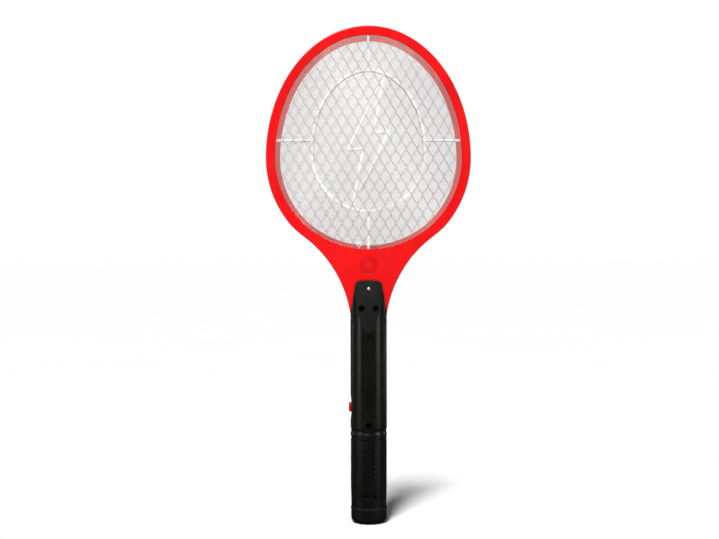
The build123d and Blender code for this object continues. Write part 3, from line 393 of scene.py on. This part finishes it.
# ================================================================ mesh-building helpers
def piece_from(bm, name, material, body, smooth=True):
    """Turns a bmesh into a named piece that rides on a body."""
    bmesh.ops.recalc_face_normals(bm, faces=bm.faces)
    data = bpy.data.meshes.new(name)
    bm.to_mesh(data)
    bm.free()
    for polygon in data.polygons:
        polygon.use_smooth = smooth
    data.materials.append(material)
    piece = bpy.data.objects.new(name, data)
    bpy.context.scene.collection.objects.link(piece)
    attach(piece, body)
    return piece


def egg_point(angle, grow):
    """Point of the egg outline at an angle, moved out by grow from the rims' outer outline."""
    rise = rim_rise if math.sin(angle) > 0 else rim_drop
    return Vector(((rim_half + grow) * math.cos(angle), 0, egg_z + (rise + grow) * math.sin(angle)))


def egg_reach(x, z, grow):
    """How far out a point lies: 1 on the egg outline, less inside."""
    rise = rim_rise if z > egg_z else rim_drop
    return math.hypot(x / (rim_half + grow), (z - egg_z) / (rise + grow))


def tube(bm, points, radius, sides):
    """A round tube with closed ends along points, added to a bmesh."""
    rings = []
    last = len(points) - 1
    for i, point in enumerate(points):
        along = (points[min(i + 1, last)] - points[max(i - 1, 0)]).normalized()
        side = along.cross(Vector((0, 1, 0)))
        if side.length < 0.1:
            side = along.cross(Vector((1, 0, 0)))
        side.normalize()
        up = side.cross(along)
        ring = []
        for k in range(sides):
            turn = 2 * math.pi * k / sides
            ring.append(bm.verts.new(point + radius * (math.cos(turn) * side + math.sin(turn) * up)))
        rings.append(ring)
    for a, b in zip(rings, rings[1:]):
        for k in range(sides):
            bm.faces.new((a[k], a[(k + 1) % sides], b[(k + 1) % sides], b[k]))
    bm.faces.new(rings[0])
    bm.faces.new(rings[-1])


RIM_STEPS = 240


def rim_ring(bm, inner_grow, outer_grow, y, half_thick):
    """Flat closed ring between two egg outlines."""
    loops = []
    section = (
        (inner_grow, -half_thick), (outer_grow, -half_thick),
        (outer_grow, half_thick), (inner_grow, half_thick),
    )
    for grow, depth in section:
        loop = []
        for i in range(RIM_STEPS):
            point = egg_point(2 * math.pi * i / RIM_STEPS, grow)
            point.y = y + depth
            loop.append(bm.verts.new(point))
        loops.append(loop)
    for a, b in zip(loops, loops[1:] + loops[:1]):
        for i in range(RIM_STEPS):
            j = (i + 1) % RIM_STEPS
            bm.faces.new((a[i], a[j], b[j], b[i]))


# ================================================================ outer diamond meshes
CELL_HALF_X = 5.35 * MM
CELL_HALF_Z = 9.3 * MM
KNUCKLE_HALF = 0.8 * MM          # two strands run side by side this far above and below a crossing
STRAND_SHARE = 0.034             # the hole's edge, drawn in from the strand's middle line
STRAND_HALF_THICK = 0.24 * MM
FLATTENED = 0.3                  # thickness of a strand's end in the rim, as a share
MESH_RIM_HALF_THICK = 0.22 * MM
REAR_MESH_SHIFT = 1.6 * MM       # sideways, so that the rear diamonds show beside the front ones
RIM_INNER = -5.9 * MM            # the rims end just behind the frame's lip
RIM_OUTER = -0.2 * MM
HOLD = -5.0 * MM                 # strands end in the rim, this far in from its outer edge


def diamond_sheet(name, node, y, shift):
    """Expanded metal: every opening is a six-sided cell whose strands meet at upright knuckles."""
    bm = bmesh.new()
    cache = {}

    def corner(i, j, upper):
        """Middle-line vertices, front and back, of a crossing's upper or lower end."""
        key = (i, j, upper)
        if key not in cache:
            x = i * CELL_HALF_X + shift
            z = egg_z + j * CELL_HALF_Z + (KNUCKLE_HALF if upper else -KNUCKLE_HALF)
            reach = egg_reach(x, z, HOLD)
            outside = reach > 1
            if outside:
                x, z = x / reach, egg_z + (z - egg_z) / reach
            ridge = STRAND_HALF_THICK * (FLATTENED if outside else 1)
            cache[key] = (bm.verts.new((x, y - ridge, z)), bm.verts.new((x, y + ridge, z)), outside)
        return cache[key]

    borders = {}
    columns = math.ceil(rim_half / CELL_HALF_X) + 1
    rows = math.ceil(rim_rise / CELL_HALF_Z) + 1
    for i in range(-columns, columns + 1):
        for j in range(-rows, rows + 1):
            if (i + j) % 2 == 0:
                continue
            cell = [
                corner(i, j - 1, True), corner(i + 1, j, False), corner(i + 1, j, True),
                corner(i, j + 1, False), corner(i - 1, j, True), corner(i - 1, j, False),
            ]
            if all(c[2] for c in cell):
                continue
            middle = sum((c[0].co for c in cell), Vector()) / 6
            middle.y = y
            inner = []
            for c in cell:
                flat = Vector((c[0].co.x, y, c[0].co.z))
                inner.append(bm.verts.new(flat.lerp(middle, STRAND_SHARE)))
            for k in range(6):
                n = (k + 1) % 6
                for layer in (0, 1):
                    corners = [cell[k][layer], cell[n][layer], inner[n], inner[k]]
                    bm.faces.new(corners if layer == 0 else corners[::-1])
                pair = frozenset((cell[k][0], cell[n][0]))
                if pair in borders:
                    del borders[pair]
                else:
                    borders[pair] = (cell[k], cell[n])
    for a, b in borders.values():
        bm.faces.new((a[0], a[1], b[1], b[0]))
    rim_ring(bm, RIM_INNER, RIM_OUTER, y, MESH_RIM_HALF_THICK)
    sheet = piece_from(bm, name, finishes["mesh_metal"], "handle", smooth=False)
    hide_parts(node)


diamond_sheet("front_diamond_mesh", "front_mesh", (mesh_low.y + mesh_high.y) / 2, 0.0)
diamond_sheet("rear_diamond_mesh", "rear_mesh", (rear_mesh_low.y + rear_mesh_high.y) / 2, REAR_MESH_SHIFT)


# ================================================================ fine live grid in the middle
GRID_PITCH = 1.6 * MM
GRID_LEAN = math.radians(39)
GRID_WIRE = 0.185 * MM
GRID_HOLD = -4.8 * MM            # wires end in the rim, this far in from its outer edge
GRID_SIDES = 6
WIRE_REACH = 135                 # whole millimetres searched each way for a wire's ends
END_HALVINGS = 12                # times the last millimetre is halved to find an end


def fine_grid():
    """Two families of straight wires welded where they cross, held by a thin rim."""
    bm = bmesh.new()
    middle = Vector((0, 0, egg_z))
    for lean, depth in ((GRID_LEAN, -GRID_WIRE), (-GRID_LEAN, GRID_WIRE)):
        along = Vector((math.cos(lean), 0, math.sin(lean)))
        across = Vector((-math.sin(lean), 0, math.cos(lean)))
        count = int(rim_rise * 1.1 / GRID_PITCH)
        for k in range(-count, count + 1):
            base = middle + across * (k * GRID_PITCH)
            inside = [
                t * MM for t in range(-WIRE_REACH, WIRE_REACH + 1)
                if egg_reach((base + along * t * MM).x, (base + along * t * MM).z, GRID_HOLD) < 1
            ]
            if len(inside) < 4:
                continue
            ends = []
            for start, step in ((inside[0], -1), (inside[-1], 1)):
                near, far = start, start + step * MM
                for _ in range(END_HALVINGS):
                    half = (near + far) / 2
                    point = base + along * half
                    if egg_reach(point.x, point.z, GRID_HOLD) < 1:
                        near = half
                    else:
                        far = half
                ends.append(base + along * near + Vector((0, depth, 0)))
            tube(bm, ends, GRID_WIRE, GRID_SIDES)
    rim_ring(bm, RIM_INNER, RIM_OUTER, 0, 2.0 * GRID_WIRE)
    grid = piece_from(bm, "fine_live_grid", finishes["grid_metal"], "handle")
    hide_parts("centre_grid")


fine_grid()


# ================================================================ soldered wire ends at the mesh
CURL_RADIUS = 2.0 * MM
CURL_WIRE = 0.42 * MM
CURL_STEPS = 26
CURL_SIDES = 8
CURL_SPREAD = 0.5 * MM           # how far the loop's end stands off from its start
LEAD_RADIUS = 0.6 * MM
TAIL_LAP = 1.2 * MM              # the tail starts this far below the lead's top end
TAIL_BELOW = 1.5 * MM
TAIL_ABOVE = 1.3 * MM
MESH_GAP = 0.7 * MM              # from the mesh's face to the wire's middle


def wire_curl(name, lead, y, turns, lean):
    """Bare end of a ground lead: a short tail and an open loop soldered to the mesh."""
    low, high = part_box("ground_leads")
    x = low.x + LEAD_RADIUS if lead < 0 else high.x - LEAD_RADIUS
    foot = Vector((x, y, high.z - TAIL_LAP))
    middle = foot + Vector((0, 0, CURL_RADIUS + TAIL_ABOVE))
    points = [foot - Vector((0, 0, TAIL_BELOW))]
    for i in range(CURL_STEPS + 1):
        angle = -math.pi / 2 + lean + turns * 2 * math.pi * i / CURL_STEPS
        rise = CURL_SPREAD * i / CURL_STEPS
        outwards = -rise if y < 0 else rise
        ring = Vector((math.cos(angle) * CURL_RADIUS, outwards, math.sin(angle) * CURL_RADIUS))
        points.append(middle + ring)
    bm = bmesh.new()
    tube(bm, points, CURL_WIRE, CURL_SIDES)
    curl = piece_from(bm, name, finishes["solder"], "handle")


wire_curl("front_lead_curl", lead=-1, y=mesh_low.y - MESH_GAP, turns=0.92, lean=0.0)
wire_curl("rear_lead_curl", lead=1, y=rear_mesh_high.y + MESH_GAP, turns=0.55, lean=0.4)


# ================================================================ stage, lights and camera
FLOOR_HALF = 30                  # metres
FLOOR_DROP = 0.2 * MM            # below the object's lowest point
FLOOR_TONES = ((0.93, 0.93, 0.93), (0.94, 0.94, 0.94))


def stage_floor():
    """A wide plain pale floor."""
    bm = bmesh.new()
    bmesh.ops.create_grid(bm, x_segments=8, y_segments=8, size=FLOOR_HALF)
    data = bpy.data.meshes.new("floor")
    bm.to_mesh(data)
    bm.free()
    floor = bpy.data.objects.new("floor", data)
    floor.location.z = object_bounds()[0][2] - FLOOR_DROP
    bpy.context.scene.collection.objects.link(floor)
    material, tree, shader = new_material("floor_paint")
    tone = mix_colour(tree, ramp(tree, noise(tree, 3), 0.3, 0.7), *FLOOR_TONES)
    tree.links.new(tone, shader.inputs["Base Color"])
    shader.inputs["Roughness"].default_value = 0.9
    shader.inputs["Specular IOR Level"].default_value = 0.1
    data.materials.append(material)
    floor.visible_glossy = False


DARK_ROOM = 0.03                 # what reflections see below the ceiling
CEILING_FROM, CEILING_FULL = 0.55, 0.95     # heights where the ceiling begins and is full


def world_light(seen, cast, glare):
    """White surroundings: one strength for the camera, a softer one for what they light.

    Reflections see a dark room with a bright ceiling.
    """
    world = bpy.data.worlds.new("studio")
    world.use_nodes = True
    tree = world.node_tree
    background = tree.nodes["Background"]
    path = add(tree, "ShaderNodeLightPath")
    place = add(tree, "ShaderNodeTexCoord")
    split = add(tree, "ShaderNodeSeparateXYZ", Vector=place.outputs["Generated"])
    ceiling = ramp(tree, split.outputs[2], CEILING_FROM, CEILING_FULL, DARK_ROOM, glare)
    mirrored = add(tree, "ShaderNodeMix", data_type="FLOAT")
    tree.links.new(path.outputs["Is Glossy Ray"], mirrored.inputs[0])
    mirrored.inputs[2].default_value = cast
    tree.links.new(ceiling, mirrored.inputs[3])
    visible = add(tree, "ShaderNodeMix", data_type="FLOAT")
    tree.links.new(path.outputs["Is Camera Ray"], visible.inputs[0])
    tree.links.new(mirrored.outputs[0], visible.inputs[2])
    visible.inputs[3].default_value = seen
    tree.links.new(visible.outputs[0], background.inputs["Strength"])
    background.inputs["Color"].default_value = (1, 1, 1, 1)
    bpy.context.scene.world = world


def sun(name, towards, strength, spread, casters):
    """A sun whose light only the named nodes hold back, so the head throws no shadow on the floor."""
    data = bpy.data.lights.new(name, "SUN")
    data.energy = strength
    data.angle = math.radians(spread)
    lamp = bpy.data.objects.new(name, data)
    lamp.rotation_euler = Vector(towards).to_track_quat("-Z", "Y").to_euler()
    bpy.context.scene.collection.objects.link(lamp)
    blockers = bpy.data.collections.new("shadow_casters")
    for node in casters:
        blockers.objects.link(frame["nodes"][node])
    lamp.light_linking.blocker_collection = blockers


SOFTBOX_TARGET = Vector((0, 0, 0.2))
SOFTBOX_HEIGHT = 0.9


def softbox(name, place, width, power):
    """An upright softbox aimed at the handle; it shines in the gloss and leaves the floor alone."""
    data = bpy.data.lights.new(name, "AREA")
    data.shape = "RECTANGLE"
    data.size = width
    data.size_y = SOFTBOX_HEIGHT
    data.energy = power
    lamp = bpy.data.objects.new(name, data)
    lamp.location = place
    lamp.rotation_euler = (SOFTBOX_TARGET - Vector(place)).to_track_quat("-Z", "Y").to_euler()
    lamp.visible_diffuse = False
    bpy.context.scene.collection.objects.link(lamp)


def camera(place, target, lens, roll):
    """The camera: lens in millimetres on a 36 mm sensor, roll in degrees."""
    data = bpy.data.cameras.new("camera")
    data.lens = lens
    data.sensor_width = 36
    view = bpy.data.objects.new("camera", data)
    view.location = place
    turn = (Vector(target) - Vector(place)).to_track_quat("-Z", "Y").to_euler()
    turn.rotate_axis("Z", math.radians(roll))
    view.rotation_euler = turn
    bpy.context.scene.collection.objects.link(view)
    bpy.context.scene.camera = view


stage_floor()
world_light(seen=1.0, cast=0.10, glare=0.55)
handle_outside = (
    "handle_front_shell", "handle_rear_shell", "push_button", "battery_sleeve", "end_cap",
)
sun("key", towards=(0.28, 1.0, -1.15), strength=4.2, spread=15, casters=handle_outside)
softbox("left_strip", place=(-1.07, -0.55, 0.45), width=0.30, power=3.2)
softbox("right_strip", place=(1.07, -0.55, 0.45), width=0.30, power=4)
softbox("left_rim", place=(-1.02, 0.64, 0.45), width=0.08, power=1.0)
softbox("right_rim", place=(1.02, 0.64, 0.45), width=0.08, power=1.0)
camera(place=(-0.009, -1.2, 0.2701), target=(-0.009, 0, 0.2531), lens=60, roll=-0.1)
bpy.context.scene.view_settings.view_transform = "Standard"
